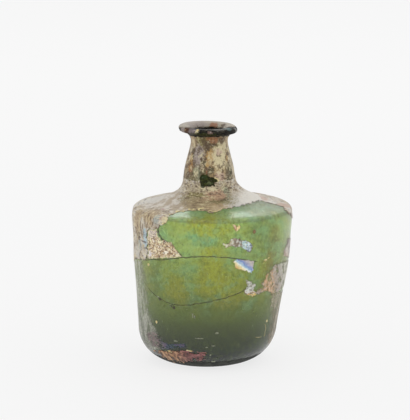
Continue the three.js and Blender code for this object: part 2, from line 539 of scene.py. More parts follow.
def layer(name, spots, cover, thickness, material):
    """A thin layer on the glass wherever cover, a distance inside its edge, is above 0. Its edge
    sinks into the glass."""
    columns, rows = cover.shape
    lift = thickness * eased(cover, 0, CRUST_BEVEL) + CLEAR
    raised = spots["places"] + spots["out"] * lift[..., None]
    places, edges, number, faces = [], [], {}, []

    def corner(at):
        if at not in number:
            number[at] = len(places)
            places.append(raised[at])
            edges.append(min(cover[at] / MM, 1))
        return number[at]

    def crossing(one, two):
        key = (one, two) if one < two else (two, one)
        if key not in number:
            number[key] = len(places)
            share = cover[key[0]] / (cover[key[0]] - cover[key[1]])
            here = spots["places"][key[0]] * (1 - share) + spots["places"][key[1]] * share
            places.append(here - spots["out"][key[0]] * SUNK)
            edges.append(0)
        return number[key]

    for i in range(columns if spots["whole"] else columns - 1):
        beside = (i + 1) % columns
        touched = np.maximum(cover[i], cover[beside]) > 0
        for k in np.nonzero(touched[:-1] | touched[1:])[0]:
            cell = [(i, k), (beside, k), (beside, k + 1), (i, k + 1)]
            face = []
            for one, two in zip(cell, cell[1:] + cell[:1]):
                if cover[one] > 0:
                    face.append(corner(one))
                if (cover[one] > 0) != (cover[two] > 0):
                    face.append(crossing(one, two))
            if len(face) > 2:
                faces.append(face)
    piece = new_piece(name, places, faces, material)
    edge = piece.data.attributes.new("edge", "FLOAT", "POINT")
    edge.data.foreach_set("value", edges)
    return piece


def away_from_front(spots):
    """0 where the photograph shows the bottle, 1 where it doesn't and smooth between them."""
    return eased(np.abs(spots["angle"]), *FRONT_ENDS)


def skin_on_lip(spots):
    """How far points of the lip lie inside the pale skin that stops at its dark edge."""
    places, side = spots["places"], away_from_front(spots)
    edge = -within(DARK_EDGE_OF_LIP, spots["pixels"]) * (1 - side)
    edge += (LIP_SHOWS_FROM - np.hypot(places[..., 0] + LIP_ASIDE, places[..., 1])) * side
    deep = np.where(spots["index"] > brim, places[..., 2] - MOUTH_DARKENS, FAR_INSIDE)
    edge = np.minimum(edge, deep) + 0.4 * MM * rough(places, 1.4, 4, 3)
    return np.where(places[..., 2] > LIP_BEGINS, edge, FAR_INSIDE)


def crust_cover(spots):
    """How far points of the outside lie inside the crust's ragged edge, in metres."""
    places, pixels, side = spots["places"], spots["pixels"], away_from_front(spots)
    front = -within(BARE_WINDOW, pixels)
    back = places[..., 2] - np.interp(spots["angle"], HEM_ANGLES, HEM_HEIGHTS)
    back += 4 * MM * rough(places, 9, 3, 3)
    cover = front * (1 - side) + back * side
    cover += 0.7 * MM * rough(places, 2.2, 1, 3) + 0.5 * MM * rough(places, 0.9, 2)
    stray = 0.5 * MM * rough(places, 1.4, 4, 3)
    for outline in (HOLE_IN_NECK, GLITTER_PATCH):
        bare = np.where(side < 0.5, -within(outline, pixels), 1)
        cover = np.minimum(cover, bare + stray)
    return np.minimum(cover, skin_on_lip(spots))


BLACK = (0, 0, 0)
WHITE = (255, 255, 255)
CREAM = (216, 204, 164)
OCHRE = (182, 144, 82)
TAN = (176, 152, 116)
RUST = (150, 98, 66)
UMBER = (86, 66, 44)
MAUVE = (158, 146, 140)
PINK = (192, 164, 146)
ASH = (202, 198, 190)
SLATE = (166, 174, 170)
SAGE = (128, 132, 104)
OLIVE = (122, 112, 58)
MUD = (56, 54, 22)
BODY_BASE = ((170, 154, 132), (206, 199, 188))
NECK_BASE = ((132, 114, 84), (190, 178, 154))
BODY_GIRTH = 38
NECK_GIRTH = 10
NECK_ASIDE = 1.4 * MM
BODY_STRANDS = (0.8, 4)
NECK_STRANDS = (2.2, 3.4)
STAINS_ON_BODY = [
    (ASH, 236, 202, 18, 5), (ASH, 262, 199, 20, 5), ((224, 220, 210), 254, 196.5, 30, 7),
    ((158, 142, 112), 208, 191, 26, 9), (ASH, 156, 199, 16, 5), (ASH, 143, 201, 15, 4),
    (TAN, 137, 221, 9, 14), (TAN, 151, 214, 10, 12), (SLATE, 156, 218, 3.4, 6),
    ((196, 166, 150), 162.5, 217.5, 3, 4), (ASH, 138, 251, 5, 7), (SLATE, 140, 243, 4, 5),
    ((166, 194, 208), 145.2, 237.5, 3.2, 10), (UMBER, 139.5, 235.5, 2.4, 3.4), (OLIVE, 206, 200, 26, 5),
    ((184, 150, 122), 204, 199.5, 7, 3), (MUD, 221, 198, 6, 2.4),
    ((104, 92, 58), 196, 197, 6, 1.2), ((96, 88, 52), 211, 201.4, 7, 1.4),
    ((104, 92, 58), 201, 205, 7, 1), (TAN, 206, 207, 21, 3), (UMBER, 187, 198, 3, 1.4),
    (SAGE, 226, 195, 3, 4), (PINK, 262, 197.5, 12, 1.6), (PINK, 284, 205, 7, 5),
    (ASH, 290, 211, 3, 6), ((170, 130, 124), 163, 209, 2.4, 1.4),
    ((176, 136, 126), 174.4, 212, 1.8, 2), (OLIVE, 196, 194, 9, 2), ((176, 140, 112), 216, 194, 10, 5),
    (SAGE, 225, 190, 4, 4), ((150, 132, 98), 196, 203, 14, 5), (CREAM, 212, 189, 5, 1.6),
    (CREAM, 202, 188, 3.4, 1.6), (UMBER, 229, 188, 3, 1.6), (CREAM, 164, 219, 3.6, 6),
    (UMBER, 139, 235, 3, 4),
]
SMOOTH_ON_BODY = [(165, 199, 40, 8), (250, 200, 44, 8), (284, 205, 12, 10)]
UPRIGHT_ON_BODY = [(144, 217, 17, 18), (138, 245, 9, 16)]
FRILLED_ON_BODY = [(167, 217, 9, 12), (183, 210, 14, 5), (205, 210, 20, 6)]
STAINS_AND_SHADE_ON_NECK = [
    # The first stain, over the whole top of the lip, is partly the skin's brown-grey and partly painted
    # shade that tones down the light falling on the top.
    ((166, 158, 146), 195, 124, 46, 8), ((164, 138, 94), 214, 158, 14, 34),
    ((126, 98, 60), 190, 165, 8, 26), ((190, 182, 168), 214, 186, 44, 5),
    ((196, 184, 160), 191, 153, 3, 16), (MAUVE, 198, 155, 6, 12), (SAGE, 196, 174, 5, 8),
    (CREAM, 219, 156, 8, 14), (TAN, 193, 139, 8, 7), (OLIVE, 204, 139, 8, 7), (RUST, 213, 139, 7, 6),
    (UMBER, 221, 139, 5, 5), (TAN, 226, 139, 5, 6), (OCHRE, 209, 155, 3.4, 8),
    (OCHRE, 206, 165, 2.6, 2.6), (PINK, 218, 151, 3.6, 3.4), (OCHRE, 226, 159, 2, 5),
    (PINK, 219, 176, 5.5, 4.5), (OCHRE, 191, 158, 1.8, 7), (RUST, 190, 168, 2.6, 7),
    (UMBER, 193, 150, 1.8, 2.6), (UMBER, 207, 145.5, 2.4, 5), (OLIVE, 212.5, 144.5, 6, 2),
    (MUD, 196.4, 144.6, 1, 1), (MUD, 210.5, 169.5, 3.4, 3.4),
    (MUD, 203, 173, 4.6, 3), ((92, 80, 46), 206, 172, 5, 4), ((98, 88, 60), 228.6, 175, 4.6, 16),
    ((96, 82, 50), 201, 163, 1.6, 12), ((92, 80, 52), 192.6, 156, 1.8, 14),
    ((92, 76, 46), 207, 146, 3, 6), ((110, 98, 64), 190, 178, 8, 6), (MUD, 229.5, 171, 3, 4),
    (MUD, 228, 180, 2.4, 3), (MUD, 224.5, 168, 1, 1), (RUST, 206, 171, 1, 4),
    (UMBER, 187, 172, 0.9, 5), (MUD, 229.5, 187, 2.8, 1.4), (SAGE, 205, 190, 14, 3),
    (UMBER, 212, 144, 5, 1.4), (MUD, 204, 164, 1.4, 6), (MUD, 193, 157, 1, 9),
    ((150, 112, 54), 190.4, 164, 2.6, 11), (UMBER, 188, 174, 3, 3), (CREAM, 231, 183.5, 1.8, 2.6),
    (UMBER, 201, 160, 0.8, 5), (SAGE, 189, 184, 6, 5), (MAUVE, 195, 124, 14, 3),
    (RUST, 213, 125, 4.4, 3), (UMBER, 223, 125, 3, 2.4),
]
UPRIGHT_ON_NECK = [(208, 156, 70, 23)]
SMOOTH_ON_NECK = [(195, 124, 40, 5), (210, 189, 60, 7)]
FRILLED_ON_NECK = [(217, 181, 4, 5)]


def wound(place, girth, around, along):
    """place counted round the bottle's axis and along its wall, for grains so many millimetres
    long each way where the bottle is girth in radius."""
    flat = place.vector("MULTIPLY_ADD", (1, 1, 0), (NECK_ASIDE, 0, 0))
    high = place.high()
    turned = flat.vector("NORMALIZE").vector("MULTIPLY", (girth / around, girth / around, 0))
    down = (flat.vector("LENGTH", output=1) - high) * (1 / (along * MM))
    return turned.vector("ADD", place.node("CombineXYZ", {}, {2: down}))


def crust_finish(name, girth, base, strands, stains, upright, smooth, frilled):
    """The skin's look. base is its two common colours. Its grain runs around, but down in the
    patches called upright, in strands so wide and tall, and is faint in those called smooth. In
    the patches called frilled its edge has turned creamy and curls."""
    place = new_finish(name)
    patch = ragged_patches(place)
    blotch = place.grain(4, 4, 1)
    fine = place.grain(0.8, 5, 2)
    down = wound(place, girth, *strands).cloud(4, 3)
    around = wound(place, girth, around=5, along=1.1).cloud(4, 6)
    standing, worn, curled = (
        stained(BLACK, patch, [(WHITE, *zone) for zone in zones]) for zones in (upright, smooth, frilled)
    )
    streak = standing.mix(around, down)
    deep = 0.95 - 0.82 * worn * (1 - standing)
    tone = blotch.rise(0.42, 0.58).mix(*base)
    tone = stained(tone, patch, stains, 0.85)
    tone = (streak.rise(0.52, 0.6) * deep * 0.85).mix(tone, UMBER)
    tone = (streak.rise(0.47, 0.39) * deep * 0.7).mix(tone, CREAM)
    tone = (fine.rise(0.54, 0.64) * deep * 0.5).mix(tone, UMBER)
    tone = (fine.rise(0.46, 0.36) * deep * 0.5).mix(tone, (210, 200, 172))
    edge = place.edge()
    frill = place.grain(1.6, 4, 11)
    tone = (edge.rise(1, 0.6) * frill.rise(0.46, 0.54) * curled).mix(tone, (222, 208, 150))
    # A broken dark line just inside the skin's edge, partly a brown deposit and partly painted shadow
    # under the edge where it stands over the glass.
    tone = (edge.rise(0.35, 0.1) * frill.rise(0.4, 0.52)).mix(tone, (70, 58, 32))
    bumps = blotch * 0.25 + fine * 0.4 + streak * 0.35
    return place.look(tone, 0.42 + 0.3 * blotch, {"Normal": bumps.bump(0.8, 0.3)})


body_ground = ground(spacing=0.42, low=38, high=88)
body_crust = crust_finish(
    "crust on the body", BODY_GIRTH, BODY_BASE, BODY_STRANDS,
    STAINS_ON_BODY, UPRIGHT_ON_BODY, SMOOTH_ON_BODY, FRILLED_ON_BODY,
)
layer("crust_on_body", body_ground, crust_cover(body_ground), CRUST, body_crust)
neck_ground = ground(spacing=0.3, low=87.7, widest=15)
neck_crust = crust_finish(
    "crust on the neck", NECK_GIRTH, NECK_BASE, NECK_STRANDS,
    STAINS_AND_SHADE_ON_NECK, UPRIGHT_ON_NECK, SMOOTH_ON_NECK, FRILLED_ON_NECK,
)
layer("crust_on_neck", neck_ground, crust_cover(neck_ground), CRUST, neck_crust)


# The dark films. Where the skin has come off the fold of the lip and one spot on the neck, the
# bare glass has earth behind it and looks nearly black, with a few rusty and grey stains. A thin
# grey line on the lip's edge is a painted highlight.
DARK_FILM = 0.06 * MM
FILM_ON_LIP_LAPS = 0.5 * MM
FILM_IN_NECK_LAPS = 0.6 * MM
STAINS_AND_HIGHLIGHT_ON_LIP = [
    ((84, 56, 36), 185, 129.5, 6, 3.4), ((128, 118, 118), 191, 131, 4, 3),
    (CREAM, 196.5, 130.6, 1.8, 2.6), ((46, 48, 14), 203, 134.6, 12, 1.8),
    # The thin grey line at pixel 218, 128.8 is a painted highlight along the lip's edge.
    ((96, 94, 88), 218, 128.8, 9, 1), ((96, 116, 116), 227, 128.4, 4, 1.4),
    ((120, 98, 88), 209.6, 132.4, 2, 1.6), ((140, 138, 136), 235.5, 130, 2.4, 5),
    ((150, 138, 132), 181.8, 129.8, 3.4, 4),
]
STAINS_IN_HOLE = [((44, 62, 30), 204, 177, 3, 1.4), ((92, 98, 66), 209, 183, 3, 1)]


def dark_finish(name, deep, worn, stains):
    """The look of glass with earth behind it, deep in colour and a little worn."""
    place = new_finish(name)
    patch = ragged_patches(place, size=1.5, soft=0.4)
    bits = place.grain(1.2, 4, 31, (1.6, 1.6, 0.7))
    fine = place.grain(0.6, 4, 32)
    tone = bits.rise(0.5, 0.64).mix(deep, worn)
    tone = stained(tone, patch, stains, 0.85)
    tone = (fine.rise(0.56, 0.66) * 0.5).mix(tone, (120, 112, 100))
    bump = (bits * 0.6 + fine * 0.4).bump(0.6, 0.2)
    return place.look(tone, 0.4 + 0.3 * fine, {"Normal": bump, "Specular IOR Level": 0.14})


lip_ground = ground(spacing=0.25, low=105.2, widest=15)
lip_cover = FILM_ON_LIP_LAPS - skin_on_lip(lip_ground)
lip_film = dark_finish("dark film on the lip", (12, 12, 10), (52, 48, 36), STAINS_AND_HIGHLIGHT_ON_LIP)
layer("dark_film_on_lip", lip_ground, lip_cover, DARK_FILM, lip_film)
hole_film = dark_finish("dark film in the neck", (34, 38, 8), (66, 70, 26), STAINS_IN_HOLE)
hole_ground = ground(spacing=0.25, low=86, high=99, reach=math.radians(60), widest=12)
hole_cover = within(HOLE_IN_NECK, hole_ground["pixels"]) + FILM_IN_NECK_LAPS
layer("dark_film_in_neck", hole_ground, hole_cover, DARK_FILM, hole_film)


# The earth in the neck. A thin lining of it still sticks to the inside of the wall, pale at the
# mouth and dark further down.
EARTH_ENDS = 84 * MM
EARTH_PALES = (110.2 * MM, 111.2 * MM)
LINING = 0.05 * MM
LINING_SIDES = 96
LINING_ROWS = 40


def earth_in_neck_finish():
    place = new_finish("earth in the neck")
    high = place.high()
    bits = place.grain(2, 4, 33)
    pale = bits.rise(0.42, 0.58).mix((140, 128, 112), (172, 162, 148))
    dark = bits.rise(0.42, 0.58).mix((26, 24, 16), (50, 46, 30))
    tone = (high + (bits - 0.5) * MM).rise(*EARTH_PALES).mix(dark, pale)
    return place.look(tone, 0.85, {"Specular IOR Level": 0.2})


inner_low = throat + int(np.argmax(height[throat:] < EARTH_ENDS))
around = np.linspace(-math.pi, math.pi, LINING_SIDES, endpoint=False)
grid = [a.T for a in np.meshgrid(around, np.linspace(throat + 1, inner_low, LINING_ROWS))]
lining = (on_section(*grid) + outside(*grid)[1] * LINING).reshape(-1, 3)
new_piece("earth_in_neck", lining, tube(LINING_SIDES, LINING_ROWS), earth_in_neck_finish())


# The flakes and films. Where the skin is only a few layers thick it shines like mother of pearl,
# in blue, gold and silver. One such patch lies bare at the left under the shoulder, and loose
# flakes and films still cling to the glass at the right.
FLAKE = 0.16 * MM
PATCH_PALES = ((151, 243), (149, 232))
PATCH_TURNS_BLUE = ((149, 240), (146, 239))
BRIGHT_CURLS = [
    ((250, 240, 224), 153.2, 240.4, 1.2, 1.2), ((252, 246, 230), 165.8, 252, 2.2, 1.4),
    ((244, 236, 204), 178, 254.4, 2.4, 1.6), ((240, 226, 190), 155, 248.6, 1.4, 3.4),
    ((232, 224, 226), 149, 253, 2.6, 3), ((238, 232, 190), 150.4, 239, 1.2, 4),
    ((240, 236, 200), 160, 241.6, 3, 1.6),
]
GOLD = (226, 196, 112)
SILVER = (214, 216, 208)
PEACH = (206, 158, 116)
BROWN = (160, 116, 72)


def across_view(place, line, ragged):
    """0 at the first pixel of a line, 1 at its last and even between them, made ragged."""
    first, last = (spot(*pixel)[0] for pixel in line)
    way = (last - first) / (last - first).length_squared
    along = place.vector("DOT_PRODUCT", tuple(way), output=1) - first.dot(way)
    return along + (place.grain(0.9, 3, 7) - 0.5) * ragged


def glitter_finish():
    place = new_finish("glitter patch")
    bits = place.grain(1.1, 4, 21)
    fine = place.grain(0.55, 3, 22)
    tone = bits.ramp(
        (0.38, UMBER), (0.44, (150, 116, 80)), (0.5, (176, 142, 104)), (0.55, (206, 180, 136)),
        (0.6, CREAM),
    )
    pale = across_view(place, PATCH_PALES, 2.5).rise(0.4, 1)
    tone = (pale * 0.7).mix(tone, (208, 196, 192))
    tone = fine.rise(0.54, 0.6).mix(tone, (246, 240, 222))
    tone = stained(tone, ragged_patches(place, soft=0.3), BRIGHT_CURLS, 0.9)
    tone = (fine.rise(0.43, 0.38) * 0.6).mix(tone, UMBER)
    blue = across_view(place, PATCH_TURNS_BLUE, 1.6).rise(0.2, 1)
    tone = (blue * 0.7).mix(tone, bits.rise(0.44, 0.52).mix((150, 186, 206), (186, 216, 226)))
    edge = place.edge()
    tone = (edge.rise(0.9, 0.3) * bits.rise(0.45, 0.52)).mix(tone, CREAM)
    bump = (bits * 0.5 + fine * 0.5).bump(0.8, 0.3)
    return place.look(tone, 0.25 + 0.3 * bits, {"Metallic": 0.2, "Normal": bump})


FILMS_REACH = math.radians(106)
SIDE_RADIUS = 36 * MM
SIDE_MARGIN = 5 * MM


def room_beside(spots):
    """How far points lie in front of a ragged line down each side of the bottle."""
    room = (FILMS_REACH - np.abs(spots["angle"])) * SIDE_RADIUS - SIDE_MARGIN
    return room + 3 * MM * rough(spots["places"], 5, 12, 3)


def film(name, outline, finish, thickness, spots, stray):
    """A thin layer inside an outline drawn on the photograph, with an edge that strays."""
    cover = np.minimum(within(outline, spots["pixels"]) + stray, room_beside(spots))
    return layer(name, spots, cover, thickness, finish)


def pearl(name, outline, line, ragged, dark, stops, spangled=0.7, veil=0):
    """A thin shining film whose colour changes along a line drawn on the photograph. spangled is
    how strong its dark and silver bits are, and veil how see-through it is."""
    place = new_finish(name)
    fine = place.grain(0.5, 4, 2)
    bits = place.grain(1.1, 4, 5)
    blots = place.grain(3, 5, 8, (1, 1, 1.3))
    tone = across_view(place, line, ragged).ramp(*stops)
    tone = (bits.rise(0.52, 0.56) * spangled).mix(tone, SILVER)
    tone = (bits.rise(0.48, 0.43) * spangled).mix(tone, dark)
    tone = (fine.rise(0.57, 0.64) * 0.7).mix(tone, CREAM)
    edge = place.edge()
    # A broken dark rim just inside the flake's edge, partly a crack and partly painted shadow under the
    # edge.
    tone = (edge.rise(0.3, 0.05) * fine.rise(0.44, 0.54)).mix(tone, UMBER)
    sockets = {"Metallic": 0.2, "Normal": (fine * 0.5 + bits * 0.5).bump(0.6, 0.2)}
    if veil:
        sockets["Alpha"] = 1 - veil * (1 - blots.rise(0.38, 0.52) * edge.rise(0, 1))
    film(name, outline, place.look(tone, 0.25 + 0.3 * fine, sockets), FLAKE, front, front_edge)


front = ground(spacing=0.22, low=36, high=80, reach=FILMS_REACH)
front_edge = 0.5 * MM * rough(front["places"], 1, 6, 3)
film("glitter_patch", GLITTER_PATCH, glitter_finish(), FLAKE, front, front_edge)
pearl(
    "speckled_flake",
    outline=[
        (222, 242.5), (225, 243.5), (228.5, 242.5), (230, 239), (233, 237.5), (239, 238), (241, 240),
        (245.5, 240), (248.5, 241.3), (252, 244.5), (251.3, 249), (248.8, 252), (246, 250.5), (243.5, 248),
        (240, 246.3), (236, 246.8), (231, 245.6), (228, 246.8), (225.5, 247.6), (223.5, 245.5),
    ],
    line=((223, 243), (252, 248)),
    ragged=0.9, dark=(100, 84, 66),
    stops=[
        (0, (206, 200, 130)), (0.2, (186, 176, 140)), (0.36, (150, 136, 122)), (0.56, (140, 122, 104)),
        (0.66, (176, 218, 222)), (0.76, (226, 242, 240)), (0.86, (120, 160, 190)), (1, (158, 150, 156)),
    ],
)
pearl(
    "blue_flake",
    outline=[
        (232.5, 260), (236, 259), (243, 259.3), (250, 259.8), (253.3, 260.3), (253, 265), (252.5, 269.5),
        (251, 272.5), (248, 271.6), (245, 270.2), (241, 269.3), (237, 268.6), (234.5, 267), (234.3, 263.5),
    ],
    line=((237.5, 271.5), (247, 258.5)),
    ragged=0.35, dark=(104, 122, 160), spangled=0.3,
    stops=[
        (0.1, (196, 148, 70)), (0.3, (240, 218, 144)), (0.42, (240, 244, 232)), (0.5, (176, 208, 222)),
        (0.62, (112, 140, 200)), (0.74, (164, 166, 196)), (0.9, (190, 180, 174)),
    ],
)
pearl(
    "grey_flake",
    outline=[
        (245.6, 279), (248, 281), (251, 280.8), (252.5, 283.2), (255.3, 283), (256.5, 285.5),
        (253.5, 287.5), (252.8, 290), (255.5, 291.5), (256, 294.5), (252, 296), (247, 294.5), (243.5, 292),
        (245, 289), (246.8, 285.5), (245.3, 281.5),
    ],
    line=((250, 281), (249, 296)),
    ragged=0.6, dark=(104, 96, 80),
    stops=[
        (0, (186, 186, 170)), (0.35, (160, 162, 150)), (0.6, SILVER), (0.76, BROWN), (0.9, GOLD),
    ],
)
pearl(
    "forked_flake",
    outline=[
        (231.5, 223.5), (234.5, 224), (237, 226.2), (238.2, 224), (240, 225), (239, 229), (236.5, 231),
        (233.5, 228),
    ],
    line=((232, 226), (239, 227)),
    ragged=0.5, dark=OCHRE, spangled=0.3,
    stops=[
        (0, (240, 222, 150)), (0.4, PEACH), (0.55, BROWN), (0.7, (242, 228, 166)), (1, GOLD),
    ],
)
pearl(
    "film_on_right",
    outline=[
        (254, 294), (256, 289), (262, 287), (260.5, 283.5), (264, 278), (266, 273), (270, 269.5),
        (273, 264), (281, 261.5), (290, 259), (296, 259), (296, 290), (286, 296), (280, 293), (275, 297),
        (269.5, 292), (264, 291), (259, 294),
    ],
    line=((259, 290), (282, 266)),
    ragged=1.4, dark=(132, 116, 96), spangled=0.3, veil=0.75,
    stops=[
        (0, MAUVE), (0.2, PEACH), (0.36, (204, 164, 128)), (0.52, (164, 142, 118)), (0.7, MAUVE),
        (1, (178, 176, 160)),
    ],
)
pearl(
    "film_on_right_edge",
    outline=[
        (287, 238), (296, 236), (296, 257), (288, 257), (282.6, 255.5), (283.4, 250), (286, 244),
    ],
    line=((284, 254), (287, 242)),
    ragged=0.8, dark=(104, 96, 80), spangled=0.4, veil=0.3,
    stops=[
        (0, PINK), (0.5, (196, 186, 176)), (1, MAUVE),
    ],
)


# The cracks. Two long cracks cross the front, the upper one along the foot of the glitter patch,
# and a third runs round the back. They are hair-thin and dark with earth. A ribbon of the same
# dark colour along the patch's right edge paints the shadow under the crust's edge there.
CRACK_WIDTH = 0.5 * MM
CRACK_RIDGE = 0.05 * MM
CRACK_STEP = 1.0
STEP_BEHIND = 0.8
TAPER_STEPS = 4
TREMBLE = 0.7
UPPER_CRACK = [
    (134, 258), (146, 259.3), (166, 259), (180, 257.3), (205, 256), (225, 257), (245, 259.4),
    (252, 260.6), (257, 261.4),
]
LOWER_CRACK = [
    (145, 284), (149, 289), (157, 297), (165, 301), (172, 304), (185, 305), (200, 303), (215, 300),
    (230, 296), (240, 292), (247, 286),
]
SHADOW_LINE_BY_PATCH = [
    (157.6, 226.4), (157.6, 230), (158.8, 234), (161.4, 238.4), (164.4, 240.6), (168.6, 243.2),
    (172.6, 246.6), (176.8, 251.6), (182, 257),
]
SHADOW_LINE_WIDTH = 0.85 * MM
CRACK_BEHIND = [
    (84, 55), (100, 58), (118, 54), (140, 50), (163, 52), (187, 47), (210, 50), (236, 53), (262, 57),
    (278, 57),
]


def along_line(points, step):
    """Points at even steps along a line, with a slight tremble."""
    points = np.array(points, float)
    length = np.concatenate([[0], np.cumsum(np.hypot(*np.diff(points, axis=0).T))])
    at = np.linspace(0, length[-1], int(length[-1] / step))
    path = np.stack([np.interp(at, length, points[:, i]) for i in (0, 1)], axis=-1)
    tremble = np.array([[noise.noise(Vector((s / 5, i * 9.1, 0))) for i in (0, 1)] for s in at])
    return path + tremble * TREMBLE


def ribbon(spots, width, ridge):
    """A narrow ridge along places on the glass, with its two edges sunk in it."""
    places, faces = [], []
    for i, (place, out) in enumerate(spots):
        before, after = spots[max(i - 1, 0)][0], spots[min(i + 1, len(spots) - 1)][0]
        side = (after - before).cross(out).normalized()
        taper = min(i, len(spots) - 1 - i, TAPER_STEPS) / TAPER_STEPS
        half = width / 2 * (0.25 + 0.75 * taper) * (1 + 0.5 * noise.noise(place / (2 * MM)))
        base = place - out * SUNK
        places += [base - side * half, place + out * ridge, base + side * half]
        if i:
            n = 3 * i
            faces += [(n - 3, n - 2, n + 1, n), (n - 2, n - 1, n + 2, n + 1)]
    return places, faces


def crack_and_shadow_finish():
    place = new_finish("earth in the cracks and painted shadow")
    bits = place.grain(1.5, 3, 31)
    return place.look(bits.ramp((0.35, (28, 28, 10)), (0.55, (62, 56, 24)), (0.68, (120, 110, 66))), 0.6)


def seen_behind(degrees_round, high):
    """A place on the outside by its angle from the front and its height in millimetres."""
    index = np.interp(high * MM, height[ring:brim], np.arange(ring, brim))
    place, out = outside(np.array([math.radians(degrees_round)]), np.array([index]))
    return Vector(place[0]), Vector(out[0])


earth = crack_and_shadow_finish()
for name, line in (("upper_crack", UPPER_CRACK), ("lower_crack", LOWER_CRACK)):
    spots = [spot(*at) for at in along_line(line, CRACK_STEP)]
    new_piece(name, *ribbon(spots, CRACK_WIDTH, CRACK_RIDGE), earth)
# A ribbon in the cracks' dark colour along the patch's right edge, painted shadow under the crust's edge.
spots = [spot(*at) for at in along_line(SHADOW_LINE_BY_PATCH, CRACK_STEP)]
new_piece("shadow_line_by_patch", *ribbon(spots, SHADOW_LINE_WIDTH, CRACK_RIDGE), earth)
spots = [seen_behind(*at) for at in along_line(CRACK_BEHIND, STEP_BEHIND)]
new_piece("crack_behind", *ribbon(spots, CRACK_WIDTH, CRACK_RIDGE), earth)


# The shade round the foot. A dark film packed round the resting ring and fading out a few
# millimetres up the heel paints the shadow where the bottle meets the floor.
FOOT_SHADE_FILM = 0.03 * MM
FOOT_SHADE_FADES = (7 * MM, 2 * MM)


def foot_shade_finish():
    place = new_finish("painted shade round the foot")
    high = place.high()
    bits = place.grain(1.4, 4, 81, (1.6, 1.6, 0.7))
    tone = bits.rise(0.42, 0.6).mix((36, 38, 36), (60, 62, 56))
    alpha = (high.rise(*FOOT_SHADE_FADES) + (bits - 0.5)).rise(0.1, 0.6)
    return place.look(tone, 0.75, {"Specular IOR Level": 0.2, "Alpha": alpha})


foot = ground(spacing=0.6, low=0.15, high=8, widest=30)
foot_shade_cover = FOOT_SHADE_FADES[0] - foot["places"][..., 2] + 1.5 * MM * rough(foot["places"], 6, 7, 3)
layer("painted_shade_round_foot", foot, foot_shade_cover, FOOT_SHADE_FILM, foot_shade_finish())


# The crust and the veils low down. A little burnt-looking crust with a violet film above it
# clings to the front of the heel, and a dull bloom runs down the left and right sides. The pale
# veil on the left is partly that bloom and partly a painted reflection of the bright room along
# the bottle's edge.
HEEL_CRUST = [
    (154, 350), (160, 349), (168, 350.5), (176, 349.5), (186, 349), (192, 350.5), (197, 352),
    (202, 351.5), (206, 354), (203, 356), (205.5, 358.5), (199, 360.5), (190, 360), (183, 362),
    (170, 360), (162, 356),
]
VIOLET_FILM = [
    (145, 333), (150, 330), (158, 333), (164, 341), (172, 342.5), (184, 343), (186, 347.5), (172, 349),
    (160, 349), (152, 346), (147, 340),
]
CRUST_REDDENS = ((160, 355), (204, 355))
FILM_COOLS = ((150, 338), (172, 347))
LEFT_VEIL = [
    (128, 258), (142, 259), (145, 285), (150, 312), (158, 335), (160, 350), (146, 352), (130, 310),
]
RIGHT_VEIL = [(270, 293), (295, 285), (292, 320), (282, 350), (268, 352), (266, 338), (270, 320)]
HEEL_LAYER = 0.14 * MM
VIOLET_LAYER = 0.05 * MM
VEIL = 0.03 * MM


def heel_finish():
    place = new_finish("burnt crust on the heel")
    bits = wound(place, girth=30, around=1.8, along=0.55).cloud(4, 51)
    fine = place.grain(0.6, 3, 52)
    reddish = across_view(place, CRUST_REDDENS, 0.5).rise(0.35, 0.75)
    tone = bits.ramp((0.38, (50, 36, 24)), (0.48, (124, 84, 54)), (0.6, (186, 146, 106)))
    pink = bits.ramp((0.38, (40, 28, 28)), (0.48, (112, 62, 58)), (0.6, (150, 102, 100)))
    tone = reddish.mix(tone, pink)
    tone = (fine.rise(0.56, 0.66) * 0.7).mix(tone, (60, 52, 44))
    bump = (bits * 0.6 + fine * 0.4).bump(0.7, 0.25)
    alpha = (bits + 0.22 * place.edge()).rise(0.54, 0.6)
    return place.look(tone, 0.3 + 0.3 * fine, {"Normal": bump, "Alpha": alpha})


def violet_finish():
    place = new_finish("violet film on the heel")
    bits = wound(place, girth=30, around=2, along=0.8).cloud(4, 61)
    blue = across_view(place, FILM_COOLS, 0.6).rise(0.3, 0.8)
    tone = bits.ramp((0.38, (66, 60, 58)), (0.5, (116, 100, 100)), (0.62, (150, 134, 128)))
    cold = bits.ramp((0.38, (44, 54, 56)), (0.5, (64, 86, 100)), (0.6, (98, 82, 104)))
    alpha = place.edge().rise(0, 0.8) * bits.rise(0.36, 0.56) * 0.9
    return place.look(blue.mix(tone, cold), 0.35, {"Alpha": alpha, "Metallic": 0.2})


def veil_finish(name, first, second, most):
    """A veil on the glass that lets it show through: a dull bloom, which on the left is partly a painted
    reflection of the room.
    """
    place = new_finish(name)
    down = wound(place, girth=36, around=3, along=9).cloud(5, 71)
    fine = place.grain(0.8, 4, 72)
    tone = down.rise(0.42, 0.58).mix(first, second)
    alpha = (0.6 + 0.4 * down.rise(0.4, 0.6)) * (0.6 + 0.4 * fine.rise(0.4, 0.6))
    return place.look(tone, 0.45, {"Alpha": alpha * place.edge().rise(0, 1) * most})


low = ground(spacing=0.3, low=0.4, high=52, reach=FILMS_REACH, widest=36)
low_edge = 0.8 * MM * rough(low["places"], 1.8, 8, 3)
low_edge += MM * rough(low["places"] * (0.4, 0.4, 2), 1.2, 9, 2)
# The veil on the left is pale, partly a bloom and partly painted reflection of the room along the edge.
left_bloom_and_reflection = veil_finish("veil and reflection on the left", (160, 160, 142), (208, 206, 194), most=0.62)
right_bloom = veil_finish("veil on the right", (132, 110, 84), (186, 172, 152), most=0.65)
film("burnt_crust_on_heel", HEEL_CRUST, heel_finish(), HEEL_LAYER, low, low_edge)
film("violet_film_on_heel", VIOLET_FILM, violet_finish(), VIOLET_LAYER, low, low_edge)
film("veil_and_reflection_on_left", LEFT_VEIL, left_bloom_and_reflection, VEIL, low, low_edge)
film("veil_on_right", RIGHT_VEIL, right_bloom, VEIL, low, low_edge)
